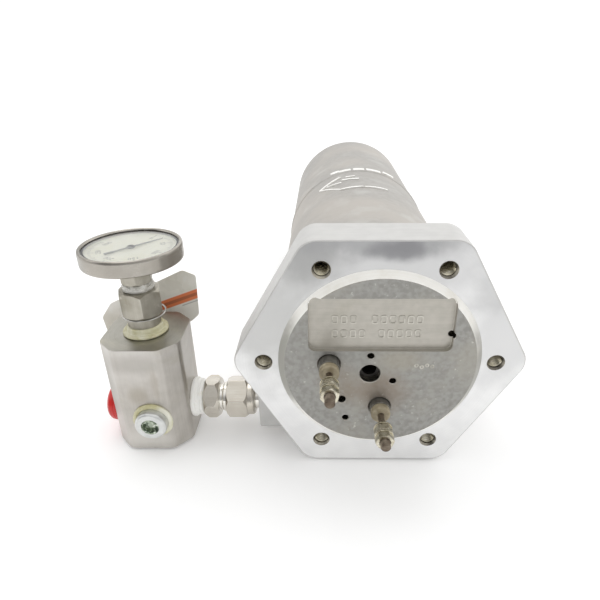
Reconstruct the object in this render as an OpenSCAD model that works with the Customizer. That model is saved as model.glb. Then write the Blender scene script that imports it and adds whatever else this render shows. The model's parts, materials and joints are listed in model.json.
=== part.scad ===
// In-line electric heater for compressed air and other fluids, lying on its side.
// A cast body holds a serpentine flow tube and a hairpin heating element. Its outlet feeds a
// drilled manifold block with a dial thermometer on top.
// Origin: centre of the flange's front face. +Y runs along the casting, +Z is up.

/* [Casting] */
// Flange width across its flats
flange_af = 151.4; // [146:0.2:156]
// Flange thickness
flange_t = 29; // [26:1:32]
// Radius of the round cast body
body_r = 63.5; // [62.5:0.5:65]
// Length from the flange's face to the far end
body_len = 385; // [384:1:400]
// Radius of the flange's corners
corner_r = 12; // [8:1:14]
// Radius of the raised disc at its foot, on the flange's face
disc_r = 59.5; // [58:0.5:61]
// Height of the raised disc, which is also its chamfer
disc_h = 3.8; // [3:0.2:5]

/* [Cover bolts] */
// Pitch circle diameter of the tapped holes
bolt_pcd = 136; // [135:0.5:137]
// Number of tapped holes
bolt_n = 6; // [6]
// Radius of a tapped hole
bolt_r = 4.2; // [3:0.1:5]
// Depth of a tapped hole
bolt_depth = 22; // [15:1:24]

/* [Flow tube] */
// Outer radius of the flow tube
tube_r = 7.94; // [7:0.02:8]
// Wall of the flow tube
tube_wall = 1.65; // [1:0.05:2]
// Distance from the axis to each pass of the tube, and the depth of the outlet below the axis
pass_r = 50; // [49.5:0.1:50.5]
// Distance of the outlet port behind the flange's face
port_y = 32.5; // [32:0.5:34]
// Distance of the inlet port behind the flange's face
inlet_y = 308; // [280:0.5:350]

/* [Element] */
// Radius of the element's sheath
sheath_r = 6.15; // [5.5:0.05:6.3]
// Distance from the axis to each leg of the element
leg_at = 29.5; // [29:0.1:30]

/* [Manifold] */
// Width of the square block
block_w = 50.8; // [48:0.1:54]
// Height of the block
block_h = 77.2; // [72:0.2:90]
// Flat across each vertical corner, measured along a side
block_cut = 11; // [8:0.5:13]
// Height of the block's top face
block_top = 3; // [0:1:6]
// Radius of the four ports
port_r = 10.4; // [9:0.1:11]
// How far the capped port lies below the others
cap_drop = 4.5; // [0:0.5:6]

/* [Thermometer] */
// Radius of the case
case_r = 30.1; // [29.5:0.1:33]
// Height of the bezel's rim
case_top = 62.1; // [61.5:0.1:63]

/* [Hidden] */
$fn = 64;

gap = 0.3;                            // clear space round a part cast or laid in place
weld = 0.05;                          // root gap where lengths of tube are butt welded
pass_n = 7;
pass_step = -360 / pass_n;            // the passes go round from the foot towards -X
function pass_at(i) = pass_r * [cos(270 + i * pass_step), sin(270 + i * pass_step)];
elbow_r = 25;
pass_y0 = port_y + elbow_r;           // the straight passes run between these
pass_y1 = inlet_y - elbow_r;
port_z = -pass_r;
inlet_x = pass_at(pass_n - 1)[0] + elbow_r;
inlet_z = pass_at(pass_n - 1)[1];
boss_x = 75.5;                        // face of each port boss
boss_w = 31;
block_face = -121.8;                  // the block's outlet side, which faces the casting
block_x = block_face - block_w / 2;
block_y = port_y;
block_left = block_face - block_w;
block_front = block_y - block_w / 2;
block_back = block_y + block_w / 2;
block_foot = block_top - block_h;
front_x = block_x + 4;                // the front port is bored off centre
leg_a = [-leg_at, 1.2];               // where the element's legs leave the disc, as [x, z]
leg_b = [1.2, 0.3 - leg_at];
leg_y = 345;                          // where the legs run into their return bend
stud_r = 2.9;
pin_r = 1.8;
nut_af = 9.5;
terminals = [                         // per leg: [x, z], sheath end, collar end, stud end
    [leg_a, -14.5, -23.5, -41],
    [leg_b, -12.5, -24.5, -39.8]];
hex_af = 25.4;                        // the union's hexes
tape_r = 13.5;
adapter_af = 23.8;
neck_r = 8;
stem_hex_af = 17.5;
stem_r = 3.2;
dial_z = 59;
spindle_r = 0.8;
pointer_turn = 46;
tag_y = block_back + 6;

// Primitives along the axes: from one coordinate to another, at the other two
module x_rod(r, x0, x1, y, z) translate([x0, y, z]) rotate([0, 90, 0]) cylinder(r = r, h = x1 - x0);
module y_rod(r, y0, y1, x, z) translate([x, y0, z]) rotate([-90, 0, 0]) cylinder(r = r, h = y1 - y0);
module z_rod(r, z0, z1, x, y) translate([x, y, z0]) cylinder(r = r, h = z1 - z0);
module y_cone(r0, r1, y0, y1, x, z)
    translate([x, y0, z]) rotate([-90, 0, 0]) cylinder(r1 = r0, r2 = r1, h = y1 - y0);
module x_hex(af, x0, x1, y, z, turn = 0)
    translate([x0, y, z]) rotate([turn, 0, 0]) rotate([0, 90, 0])
        cylinder(r = af / sqrt(3), h = x1 - x0, $fn = 6);
module y_hex(af, y0, y1, x, z, turn = 0)
    translate([x, y0, z]) rotate([0, turn, 0]) rotate([-90, 0, 0])
        cylinder(r = af / sqrt(3), h = y1 - y0, $fn = 6);
module z_hex(af, z0, z1, x, y, turn = 0)
    translate([x, y, z0]) rotate([0, 0, turn]) cylinder(r = af / sqrt(3), h = z1 - z0, $fn = 6);

// A flat plate from y0 to y1, drawn as an outline in x and z
module y_plate(y0, y1) translate([0, y1, 0]) rotate([90, 0, 0]) linear_extrude(y1 - y0) children();

// Points of a regular outline with n round corners of radius r, where af spans its flats
function round_ngon(n, af, r, steps = 5) =
    [for (i = [0:n - 1], k = [0:steps])
        let (mid = i * 360 / n,
             turn = mid + (k / steps - 0.5) * 360 / n,
             c = (af / 2 - r) / cos(180 / n))
        [c * cos(mid) + r * cos(turn), c * sin(mid) + r * sin(turn)]];

// Points of a rectangle from lo to hi with round corners
function round_rect(lo, hi, r, steps = 4) =
    [for (q = [0:3], k = [0:steps])
        let (cx = q == 0 || q == 3 ? hi[0] - r : lo[0] + r,
             cy = q < 2 ? hi[1] - r : lo[1] + r,
             a = 90 * (q + k / steps))
        [cx + r * cos(a), cy + r * sin(a)]];

// Half a turn of a small coil about Y. It starts below the axis, bulges to +X and ends above
// it. Its ends are square to X, so halves meet face to face.
module half_turn(r, rise, rod) {
    lean = atan2(rise / 2, r);
    rotate([-lean, 0, 0]) rotate(a = 240, v = [1, 1, 1])
        rotate_extrude(angle = 180) translate([norm([r, rise / 2]), 0]) circle(r = rod);
}

// Every other half is drawn a little thinner, so that each joint has one round step
module coil(r, rise, halves, rod)
    for (i = [0:halves - 1])
        translate([0, (i + 0.5) * rise, 0]) rotate([0, 0, 180 * (i % 2)])
            half_turn(r, rise, rod - 0.04 * (i % 2));

// Bend through 180 degrees between two runs along Y at a and b, given as [x, z], with its
// section as children. It bulges to +Y where side is 1 and to -Y where side is -1.
module return_bend(a, b, y, side)
    translate([(a[0] + b[0]) / 2, y, (a[1] + b[1]) / 2])
        rotate([0, -atan2(b[1] - a[1], b[0] - a[0]), 0]) rotate([side > 0 ? 0 : 180, 0, 0])
            rotate_extrude(angle = 180) translate([norm(b - a) / 2, 0]) children();

module outlet_elbow() translate([-elbow_r, pass_y0, port_z]) rotate([0, 0, -90])
    rotate_extrude(angle = 90) translate([elbow_r, 0]) children();

module inlet_elbow() translate([inlet_x, pass_y1, inlet_z]) rotate([0, 0, 90])
    rotate_extrude(angle = 90) translate([elbow_r, 0]) children();

// Round bores for the straight passes, joined by square channels a little wider than the tube
module flow_channels() {
    wide = 2 * (tube_r + gap + 0.35);
    for (i = [0:pass_n - 1])
        y_rod(tube_r + gap, pass_y0 - 1, pass_y1 + 1, pass_at(i)[0], pass_at(i)[1]);
    for (i = [0:pass_n - 2])
        return_bend(pass_at(i), pass_at(i + 1), i % 2 == 0 ? pass_y1 : pass_y0, i % 2 == 0 ? 1 : -1)
            square(wide, center = true);
    outlet_elbow() square(wide, center = true);
    inlet_elbow() square(wide, center = true);
    x_rod(tube_r + gap, -boss_x - 1, -elbow_r + 1, port_y, port_z);
    x_rod(tube_r + gap, inlet_x - 1, boss_x + 1, inlet_y, inlet_z);
}

module tube_section() difference() {
    circle(r = tube_r);
    circle(r = tube_r - tube_wall);
}

// Square boss round a port at y and z, from x0 to x1
module port_boss(x0, x1, y, z)
    translate([x0, y, z]) rotate([90, 0, 90]) linear_extrude(x1 - x0)
        polygon(round_rect([-boss_w / 2, -boss_w / 2], [boss_w / 2, boss_w / 2], 4));

module heater_body() color("gainsboro") difference() {
    union() {
        y_plate(0, flange_t) polygon(round_ngon(6, flange_af, corner_r));
        y_rod(body_r, flange_t / 2, body_len - 3, 0, 0);
        y_cone(body_r, body_r - 3, body_len - 3, body_len, 0, 0);
        y_rod(body_r + 0.8, 219, 222, 0, 0);
        y_cone(disc_r - disc_h, disc_r, -disc_h, 0, 0, 0);
        y_rod(disc_r, 0, flange_t / 2, 0, 0);
        port_boss(-boss_x, -30, port_y, port_z);
        port_boss(30, boss_x, inlet_y, inlet_z);
    }
    // Shallow rating pocket in the disc
    y_plate(-disc_h - 1, -disc_h + 3)
        polygon(round_rect([-41.4, 10.1], [40.4, 43.6], 4));
    // Tapped holes for the missing cover
    for (i = [0:bolt_n - 1]) let (a = i * 360 / bolt_n)
        y_rod(bolt_r, -1, bolt_depth, bolt_pcd / 2 * cos(a), bolt_pcd / 2 * sin(a));
    // Sensor hole and small tapped holes in the disc
    y_rod(6.1, -disc_h - 1, 70, -5.5, -5.5);
    for (p = [[-5.5, 6.8], [8.1, -10.6], [-19.2, -38.1], [39.6, 20.3]])
        y_rod(2, -disc_h - 1, 8, p[0], p[1]);
    y_rod(2.6, -disc_h - 1, 9, -21.9, -24.1);
    // Channels for the flow tube and the element
    flow_channels();
    for (t = terminals) y_rod(sheath_r + gap, -disc_h - 1, leg_y + 1, t[0][0], t[0][1]);
    return_bend(leg_a, leg_b, leg_y, 1) square(2 * (sheath_r + gap + 0.35), center = true);
}

// Straight passes, a return bend between each two and an elbow at each end, butt welded
module flow_tube() color("silver") {
    for (i = [0:pass_n - 1])
        translate([pass_at(i)[0], pass_y0 + weld, pass_at(i)[1]]) rotate([-90, 0, 0])
            linear_extrude(pass_y1 - pass_y0 - 2 * weld) tube_section();
    for (i = [0:pass_n - 2])
        return_bend(pass_at(i), pass_at(i + 1), i % 2 == 0 ? pass_y1 : pass_y0, i % 2 == 0 ? 1 : -1)
            tube_section();
    outlet_elbow() tube_section();
    inlet_elbow() tube_section();
}

module tube_end(x0, x1, y, z, r) difference() {
    x_rod(r, x0, x1, y, z);
    x_rod(tube_r - tube_wall, x0 - 1, x1 + 1, y, z);
}

module outlet_tube() color("silver") tube_end(-96, -elbow_r - weld, port_y, port_z, tube_r);

// The length that a coupling slides over stands clear of the boss, on a turned-down root
module inlet_tube() color("silver") union() {
    tube_end(inlet_x + weld, boss_x + 1.5, inlet_y, inlet_z, tube_r - 0.6);
    tube_end(boss_x + 1, boss_x + 26, inlet_y, inlet_z, tube_r);
}

module heating_element() color("dimgray") difference() {
    union() {
        for (t = terminals) y_rod(sheath_r, t[1], leg_y, t[0][0], t[0][1]);
        return_bend(leg_a, leg_b, leg_y, 1) circle(r = sheath_r - 0.15);
    }
    for (t = terminals) y_rod(5.4, t[1] - 1, t[1] + 12, t[0][0], t[0][1]);
}

module terminal_insulators() color("tan")
    for (t = terminals) difference() {
        y_rod(5.4, t[1] + 0.5, t[1] + 12, t[0][0], t[0][1]);
        y_rod(pin_r, t[1], t[1] + 13, t[0][0], t[0][1]);
    }

module terminal_studs() color("dimgray")
    for (t = terminals) {
        y_rod(pin_r, t[2] + 1, t[1] + 12, t[0][0], t[0][1]);
        y_rod(stud_r, t[3], t[2] + 1, t[0][0], t[0][1]);
    }

// Small hexagonal collar that seats the first washer
module terminal_collars() color("goldenrod")
    for (t = terminals) difference() {
        y_hex(7, t[2] + 1, t[2] + 3.4, t[0][0], t[0][1]);
        y_rod(pin_r, t[2], t[2] + 5, t[0][0], t[0][1]);
    }

module terminal_washers() color("silver")
    for (t = terminals, off = [0, -5.4, -6.6]) difference() {
        y_rod(5.4, t[2] + off, t[2] + off + 0.9, t[0][0], t[0][1]);
        y_rod(stud_r, t[2] - 20, t[2] + 20, t[0][0], t[0][1]);
    }

module terminal_nuts() color("wheat")
    for (t = terminals, off = [-4.4, -10.9]) difference() {
        y_hex(nut_af, t[2] + off, t[2] + off + 4.2, t[0][0], t[0][1], 12);
        y_rod(stud_r, t[2] - 20, t[2] + 20, t[0][0], t[0][1]);
    }

// Lining of the sensor hole: a thin well pressed into the casting
module sensor_well() color("darkslategray") difference() {
    y_rod(6, 2, 69, -5.5, -5.5);
    y_rod(4.4, 1, 66, -5.5, -5.5);
}

// The nut turns on the union's threads, so it keeps a running clearance all round
module union_nut() color("silver") difference() {
    union() {
        x_hex(hex_af, -98.2, -84, port_y, port_z, 8);
        x_rod(12.2, -90, -79, port_y, port_z);
    }
    x_rod(10.3, -99, -88.5, port_y, port_z);
    x_rod(tube_r + 0.06, -90, -78, port_y, port_z);
}

module union_ferrules() color("lightgray") difference() {
    union() {
        x_rod(9.6, -93.6, -91.4, port_y, port_z);
        x_rod(9, -91.2, -89.2, port_y, port_z);
    }
    x_rod(tube_r, -95, -88, port_y, port_z);
}

module union_body() color("silver") difference() {
    union() {
        x_rod(10.2, block_face - 15, block_face + 9, block_y, port_z);
        x_hex(hex_af, -113.4, -103.4, block_y, port_z, 22);
        x_rod(10.24, -103.4, -93.8, block_y, port_z);
    }
    x_rod(6, block_face - 16, -93, block_y, port_z);
    x_rod(tube_r + 0.06, -96.2, -93, block_y, port_z);
}

module tape_ring(r, hole) difference() {
    circle(r = r);
    circle(r = hole);
}

module union_tape() color("ivory") translate([block_face, block_y, port_z]) rotate([0, 90, 0])
    linear_extrude(8.2) tape_ring(tape_r, 10.2);

module block_outline() {
    h = block_w / 2;
    k = h - block_cut;
    polygon([[h, -k], [h, k], [k, h], [-k, h], [-h, k], [-h, -k], [-k, -h], [k, -h]]);
}

// Square bar with cut corners. Its ports meet on one line, and a bore comes down from the top.
module manifold_block() color("lightgray") difference() {
    translate([block_x, block_y, block_foot]) linear_extrude(block_h) block_outline();
    x_rod(port_r, block_face - 16, block_face + 1, block_y, port_z);
    x_rod(port_r, block_left - 1, block_left + 16, block_y, port_z - cap_drop);
    x_rod(7, block_left + 15, block_face - 10, block_y, port_z);
    y_rod(port_r, block_front - 1, block_front + 16, front_x, port_z);
    y_rod(7, block_front + 10, block_y, front_x, port_z);
    z_rod(port_r, block_top - 16, block_top + 1, block_x, block_y);
    z_rod(7, port_z - 12, block_top - 10, block_x, block_y);
}

module port_plug() color("whitesmoke") difference() {
    union() {
        y_rod(10.2, block_front - 6, block_front + 13, front_x, port_z);
        y_cone(9.4, 10.2, block_front - 7.2, block_front - 6, front_x, port_z);
    }
    y_hex(9.6, block_front - 8, block_front + 3, front_x, port_z, 10);
}

module plug_tape() color("khaki") y_plate(block_front - 1.8, block_front)
    translate([front_x, port_z]) tape_ring(13, 10.2);

// Soft protective cap, pushed into the spare port. It pulls off along -X.
module port_cap() color("red") translate([block_left, block_y, port_z - cap_drop]) difference() {
    union() {
        x_rod(port_r - 0.06, -3, 12, 0, 0);
        translate([-7.4, 0, 0]) rotate([0, 90, 0])
            rotate_extrude() polygon([[0, 0], [9, 0], [11.2, 0.8], [12.3, 2.4], [12.8, 4.6], [12.8, 7.3], [0, 7.3]]);
    }
    x_rod(port_r - 2.2, -5.6, 13, 0, 0);
}

module gauge_adapter() color("darkgray") difference() {
    union() {
        z_rod(10.2, block_top - 13, 16.4, block_x, block_y);
        z_hex(adapter_af, 16.4, 33, block_x, block_y, 20);
    }
    z_rod(6, block_top - 14, 34, block_x, block_y);
}

module adapter_tape() color("khaki") {
    translate([block_x, block_y, block_top]) linear_extrude(2) tape_ring(14.2, 10.2);
    translate([block_x, block_y, block_top + 2]) linear_extrude(4.4) tape_ring(11.4, 10.2);
}

module stem_sealant() color("whitesmoke")
    translate([block_x, block_y, 33]) linear_extrude(4.6) tape_ring(9.6, 6);

module gauge_stem() color("silver") difference() {
    union() {
        z_rod(6, 20, 37.6, block_x, block_y);
        z_hex(stem_hex_af, 37.6, 46.6, block_x, block_y, 14);
        z_rod(6.5, 46.6, 50.2, block_x, block_y);
        z_rod(stem_r, port_z - 8, 20, block_x, block_y);
    }
    z_rod(stem_r - 0.6, port_z - 7, 51, block_x, block_y);
}

module lathe(points) translate([block_x, block_y, 0]) rotate_extrude() polygon(points);

// Case and bezel are thin shells turned about the stem's axis
module gauge_case() color("silver")
    lathe([[2, 50.2], [23, 50.2], [26.5, 51], [28.1, 53], [28.1, 59.8], [27.2, 59.8],
        [27.2, 53.4], [25.8, 51.8], [22.8, 51.1], [2, 51.1]]);

module gauge_bezel() color("gainsboro")
    lathe([[28.2, 52.2], [29.1, 52], [case_r, 52.8], [case_r, 61], [29.3, case_top],
        [28.1, case_top], [27.5, 61.6], [27.5, 60.9], [28.2, 60.9]]);

module gauge_gasket() color("dimgray")
    lathe([[26.5, 59.9], [28.1, 59.9], [28.1, 60.3], [26.5, 60.3]]);

module gauge_lens() color("lightcyan", 0.35)
    lathe([[0, 60.3], [28.1, 60.3], [28.1, 60.8], [0, 60.8]]);

module gauge_dial() color("cornsilk")
    lathe([[1.4, dial_z - 0.8], [27.1, dial_z - 0.8], [27.1, dial_z], [1.4, dial_z]]);

module gauge_spindle() color("goldenrod")
    z_rod(spindle_r, -20, dial_z + 1.1, block_x, block_y);

// Pointer with a tail, fixed to the spindle
module gauge_pointer() color("black") difference() {
    union() {
        translate([block_x, block_y, dial_z + 0.45]) rotate(pointer_turn) linear_extrude(0.4)
            polygon([[-16.3, 0.9], [-16.3, -0.9], [14, -0.6], [21, -0.15], [21, 0.15], [14, 0.6]]);
        z_rod(2.4, dial_z + 0.4, dial_z + 0.9, block_x, block_y);
    }
    z_rod(spindle_r, dial_z, dial_z + 2, block_x, block_y);
}

// Bimetal spring, wound down round the spindle inside the stem
module bimetal_coil() color("peru")
    translate([block_x, block_y, -20]) rotate([-90, 0, 0]) coil(1.75, 1.6, 20, 0.45);

module warning_tag() color("lightgray") y_plate(tag_y, tag_y + 0.5) difference() {
    polygon([[-190, -5], [-182, 6], [-128.4, 31.4], [-119.6, 27.4], [-120.6, -2.6], [-126.4, -8],
        [-181, -33.5], [-187.6, -24]]);
    translate([block_x - 3, 14]) circle(r = 2.2);
}

// Wire loop round the adapter's neck, and a ring linked to it through the tag's hole
module tag_tie() color("silver") {
    translate([block_x, block_y + 2.2, 15.1]) rotate_extrude() translate([13.2, 0]) circle(r = 0.5);
    translate([block_x - 3, tag_y - 7.4, 19]) rotate([0, 90, 0])
        rotate_extrude() translate([9.14, 0]) circle(r = 0.5);
}

heater_body();
flow_tube();
outlet_tube();
inlet_tube();
heating_element();
terminal_insulators();
terminal_studs();
terminal_collars();
terminal_washers();
terminal_nuts();
sensor_well();
union_nut();
union_ferrules();
union_body();
union_tape();
manifold_block();
port_plug();
plug_tape();
port_cap();
gauge_adapter();
adapter_tape();
gauge_stem();
stem_sealant();
gauge_case();
gauge_bezel();
gauge_gasket();
gauge_lens();
gauge_dial();
gauge_pointer();
gauge_spindle();
bimetal_coil();
warning_tag();
tag_tie();
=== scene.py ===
"""An in-line electric fluid heater, dressed with finishes and small detail around its CAD frame."""
import json
import math

import bmesh
import bpy
from mathutils import Matrix, Vector, noise


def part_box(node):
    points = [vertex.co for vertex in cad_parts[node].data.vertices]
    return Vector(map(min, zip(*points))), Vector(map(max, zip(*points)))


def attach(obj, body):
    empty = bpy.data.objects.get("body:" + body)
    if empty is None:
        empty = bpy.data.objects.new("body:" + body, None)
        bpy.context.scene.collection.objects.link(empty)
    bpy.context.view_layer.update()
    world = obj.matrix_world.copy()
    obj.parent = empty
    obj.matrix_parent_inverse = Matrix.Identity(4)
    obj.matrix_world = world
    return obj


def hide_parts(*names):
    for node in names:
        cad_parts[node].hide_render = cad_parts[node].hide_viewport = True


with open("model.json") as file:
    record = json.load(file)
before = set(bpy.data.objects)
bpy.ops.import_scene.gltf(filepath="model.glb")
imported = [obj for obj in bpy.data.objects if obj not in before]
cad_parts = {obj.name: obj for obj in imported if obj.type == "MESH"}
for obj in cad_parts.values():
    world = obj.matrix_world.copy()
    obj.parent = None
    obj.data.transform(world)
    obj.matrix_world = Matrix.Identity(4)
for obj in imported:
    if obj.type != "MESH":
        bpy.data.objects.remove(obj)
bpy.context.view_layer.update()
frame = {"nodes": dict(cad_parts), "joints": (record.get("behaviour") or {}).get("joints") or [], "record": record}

MM = 0.001
TURN = 2 * math.pi
X, Y, Z = Vector((1, 0, 0)), Vector((0, 1, 0)), Vector((0, 0, 1))
scene = bpy.context.scene
NODES = frame["nodes"]
MOUNTS = {m["name"]: m for m in frame["record"]["mounts"]}


# ---------------------------------------------------------------- camera, lights and floor

def camera():
    """Looks down at the flange from the front, a little left of the casting's axis."""
    data = bpy.data.cameras.new("camera")
    data.lens = 29.675
    data.sensor_width = 36
    data.shift_x = -0.0248
    data.shift_y = 0.0061
    data.clip_start = 0.01
    right = Vector((0.99987, 0.0144, -0.0067))
    ahead = Vector((-0.0159, 0.8893, -0.457)).normalized()
    up = right.cross(ahead).normalized()
    right = ahead.cross(up)
    turn = Matrix((right, up, -ahead)).transposed().to_4x4()
    obj = bpy.data.objects.new("camera", data)
    scene.collection.objects.link(obj)
    obj.matrix_world = Matrix.Translation(Vector((-33.17, -242.71, 163.49)) * MM) @ turn
    scene.camera = obj


def area_light(name, place, target, size, power, colour=(1, 1, 1)):
    data = bpy.data.lights.new(name, "AREA")
    data.shape = "DISK"
    data.size = size
    data.energy = power
    data.color = colour
    obj = bpy.data.objects.new(name, data)
    scene.collection.objects.link(obj)
    aim = (Vector(target) - Vector(place)).to_track_quat("-Z", "Y")
    obj.matrix_world = Matrix.Translation(Vector(place)) @ aim.to_matrix().to_4x4()


def studio():
    """White paper behind and above, and a dimmer room on the viewer's side."""
    world = bpy.data.worlds.new("studio")
    world.use_nodes = True
    tree = world.node_tree
    direction = tree.nodes.new("ShaderNodeSeparateXYZ")
    wire(tree, coordinates(tree, "Generated"), direction.inputs["Vector"])
    behind = smooth_step(tree, direction.outputs["Y"], -0.75, 0.3)
    above = smooth_step(tree, direction.outputs["Z"], 0.35, 0.95)
    right = smooth_step(tree, direction.outputs["X"], -0.9, 0.9)
    light = maths(tree, "MAXIMUM", behind, maths(tree, "MULTIPLY", above, 0.85))
    strength = maths(tree, "ADD", maths(tree, "MULTIPLY", light, 0.78), maths(tree, "MULTIPLY", right, 0.42))
    wire(tree, maths(tree, "ADD", strength, 0.24), tree.nodes["Background"].inputs["Strength"])
    tree.nodes["Background"].inputs["Color"].default_value = (1, 1, 1, 1)
    scene.world = world
    scene.view_settings.view_transform = "Standard"
    area_light("top_light", (-0.35, 0.25, 1.0), (0, 0.12, 0), 0.7, 1.7)
    area_light("left_light", (-1.0, -0.15, 0.5), (-0.05, 0.05, 0), 0.5, 0.6)


def floor():
    """The heater rests on its flange, the far end of its body and the foot of the outlet block."""
    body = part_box("heater_body")
    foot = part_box("manifold_block")
    flange_back = Vector((0, FLANGE_T, body[0].z))
    far_end = Vector((0, body[1].y, -BODY_R))
    block = Vector((foot[1].x, foot[1].y, foot[0].z))
    normal = (far_end - flange_back).cross(block - flange_back).normalized()
    if normal.z < 0:
        normal = -normal
    bm = bmesh.new()
    bmesh.ops.create_grid(bm, x_segments=8, y_segments=8, size=30)
    aim(bm, normal, flange_back - 0.0003 * normal)
    mesh = bpy.data.meshes.new("floor")
    bm.to_mesh(mesh)
    bm.free()
    paper = surface("floor_paper", (0.95, 0.95, 0.95), (0.94, 0.94, 0.94), 0.9, grain=(40, 0.05))
    paper.node_tree.nodes["Principled BSDF"].inputs["Emission Color"].default_value = (1, 1, 1, 1)
    paper.node_tree.nodes["Principled BSDF"].inputs["Emission Strength"].default_value = 0.13
    mesh.materials.append(paper)
    obj = bpy.data.objects.new("floor", mesh)
    scene.collection.objects.link(obj)


# ---------------------------------------------------------------- finishes

def group(name, inputs, outputs):
    """An empty shader group. Inputs are {name: (socket type, default)}, and outputs are names."""
    tree = bpy.data.node_groups.new(name, "ShaderNodeTree")
    for label, (kind, value) in inputs.items():
        socket = tree.interface.new_socket(label, in_out="INPUT", socket_type=kind)
        socket.default_value = value
    for label in outputs:
        tree.interface.new_socket(label, in_out="OUTPUT", socket_type="NodeSocketFloat")
    return tree, tree.nodes.new("NodeGroupInput"), tree.nodes.new("NodeGroupOutput")


def wire(tree, source, target):
    tree.links.new(source, target)


def maths(tree, operation, first, second):
    """A Math node. Each value is a number or an output socket."""
    node = tree.nodes.new("ShaderNodeMath")
    node.operation = operation
    for socket, value in zip(node.inputs, (first, second)):
        if isinstance(value, (int, float)):
            socket.default_value = value
        else:
            wire(tree, value, socket)
    return node.outputs[0]


def vector_maths(tree, operation, first, second):
    node = tree.nodes.new("ShaderNodeVectorMath")
    node.operation = operation
    for socket, value in zip(node.inputs, (first, second)):
        if isinstance(value, tuple):
            socket.default_value = value
        else:
            wire(tree, value, socket)
    return node.outputs["Value"] if operation in ("LENGTH", "DISTANCE") else node.outputs["Vector"]


def noise_node(tree, scale, detail, vector):
    node = tree.nodes.new("ShaderNodeTexNoise")
    node.inputs["Detail"].default_value = detail
    wire(tree, vector, node.inputs["Vector"])
    if isinstance(scale, (int, float)):
        node.inputs["Scale"].default_value = scale
    else:
        wire(tree, scale, node.inputs["Scale"])
    return node.outputs["Fac"]


def smooth_step(tree, value, low, high):
    node = tree.nodes.new("ShaderNodeMapRange")
    node.interpolation_type = "SMOOTHSTEP"
    wire(tree, value, node.inputs["Value"])
    for socket, end in (("From Min", low), ("From Max", high)):
        if isinstance(end, (int, float)):
            node.inputs[socket].default_value = end
        else:
            wire(tree, end, node.inputs[socket])
    return node.outputs["Result"]


def coordinates(tree, kind="Object"):
    return tree.nodes.new("ShaderNodeTexCoord").outputs[kind]


def grain_group():
    """Fine, even grain, such as sand leaves on a casting."""
    tree, given, out = group("grain", {"Scale": ("NodeSocketFloat", 900.0)}, ("Height", "Tone"))
    place = coordinates(tree)
    fine = noise_node(tree, given.outputs["Scale"], 3, place)
    coarse = noise_node(tree, maths(tree, "MULTIPLY", given.outputs["Scale"], 0.22), 2, place)
    wire(tree, maths(tree, "ADD", fine, maths(tree, "MULTIPLY", coarse, 0.7)), out.inputs["Height"])
    wire(tree, smooth_step(tree, coarse, 0.3, 0.7), out.inputs["Tone"])
    return tree


def brushing_group():
    """Fine parallel lines. Spread is the frequency along each axis, small along the lines."""
    tree, given, out = group("brushing", {"Spread": ("NodeSocketVector", (60, 60, 2500))}, ("Height", "Tone"))
    place = vector_maths(tree, "MULTIPLY", coordinates(tree), given.outputs["Spread"])
    lines = noise_node(tree, 1, 3, place)
    wide = noise_node(tree, 0.13, 2, place)
    wire(tree, maths(tree, "ADD", lines, maths(tree, "MULTIPLY", wide, 0.5)), out.inputs["Height"])
    wire(tree, smooth_step(tree, maths(tree, "ADD", maths(tree, "MULTIPLY", lines, 0.5),
                                       maths(tree, "MULTIPLY", wide, 0.5)), 0.35, 0.65), out.inputs["Tone"])
    return tree


def turning_group():
    """Rings left by a lathe, round a line through Centre. Across is 1 on the axes square to it."""
    tree, given, out = group("turning", {
        "Centre": ("NodeSocketVector", (0, 0, 0)), "Across": ("NodeSocketVector", (1, 0, 1)),
        "Pitch": ("NodeSocketFloat", 2500.0)}, ("Height", "Tone"))
    away = vector_maths(tree, "SUBTRACT", coordinates(tree), given.outputs["Centre"])
    square = vector_maths(tree, "MULTIPLY", away, given.outputs["Across"])
    radius = vector_maths(tree, "LENGTH", square, (0, 0, 0))
    line = tree.nodes.new("ShaderNodeCombineXYZ")
    wire(tree, maths(tree, "MULTIPLY", radius, given.outputs["Pitch"]), line.inputs["X"])
    rings = noise_node(tree, 1, 2, line.outputs["Vector"])
    wire(tree, rings, out.inputs["Height"])
    wire(tree, smooth_step(tree, rings, 0.35, 0.65), out.inputs["Tone"])
    return tree


def blotch_group():
    """Soft-edged blotches over the whole surface."""
    tree, given, out = group("blotches", {
        "Scale": ("NodeSocketFloat", 40.0), "Low": ("NodeSocketFloat", 0.5),
        "High": ("NodeSocketFloat", 0.7)}, ("Mask",))
    cloud = noise_node(tree, given.outputs["Scale"], 5, coordinates(tree))
    wire(tree, smooth_step(tree, cloud, given.outputs["Low"], given.outputs["High"]), out.inputs["Mask"])
    return tree


def patch_group():
    """One ragged patch round Centre. Stretch divides each axis, and Radius is in metres."""
    tree, given, out = group("patch", {
        "Centre": ("NodeSocketVector", (0, 0, 0)), "Stretch": ("NodeSocketVector", (1, 1, 1)),
        "Radius": ("NodeSocketFloat", 0.02), "Ragged": ("NodeSocketFloat", 60.0)}, ("Mask",))
    place = coordinates(tree)
    away = vector_maths(tree, "SUBTRACT", place, given.outputs["Centre"])
    away = vector_maths(tree, "MULTIPLY", away, given.outputs["Stretch"])
    reach = maths(tree, "DIVIDE", vector_maths(tree, "LENGTH", away, (0, 0, 0)), given.outputs["Radius"])
    ragged = noise_node(tree, given.outputs["Ragged"], 4, place)
    edge = maths(tree, "ADD", reach, maths(tree, "MULTIPLY", ragged, 0.9))
    inside = maths(tree, "SUBTRACT", 1, smooth_step(tree, edge, 0.75, 1.55))
    wire(tree, inside, out.inputs["Mask"])
    return tree


GRAIN, BRUSHING, TURNING = grain_group(), brushing_group(), turning_group()
BLOTCHES, PATCH = blotch_group(), patch_group()


def use(tree, shared, **values):
    """Places a shared group in a material, with its own values."""
    node = tree.nodes.new("ShaderNodeGroup")
    node.node_tree = shared
    for label, value in values.items():
        node.inputs[label].default_value = value
    return node


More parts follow.
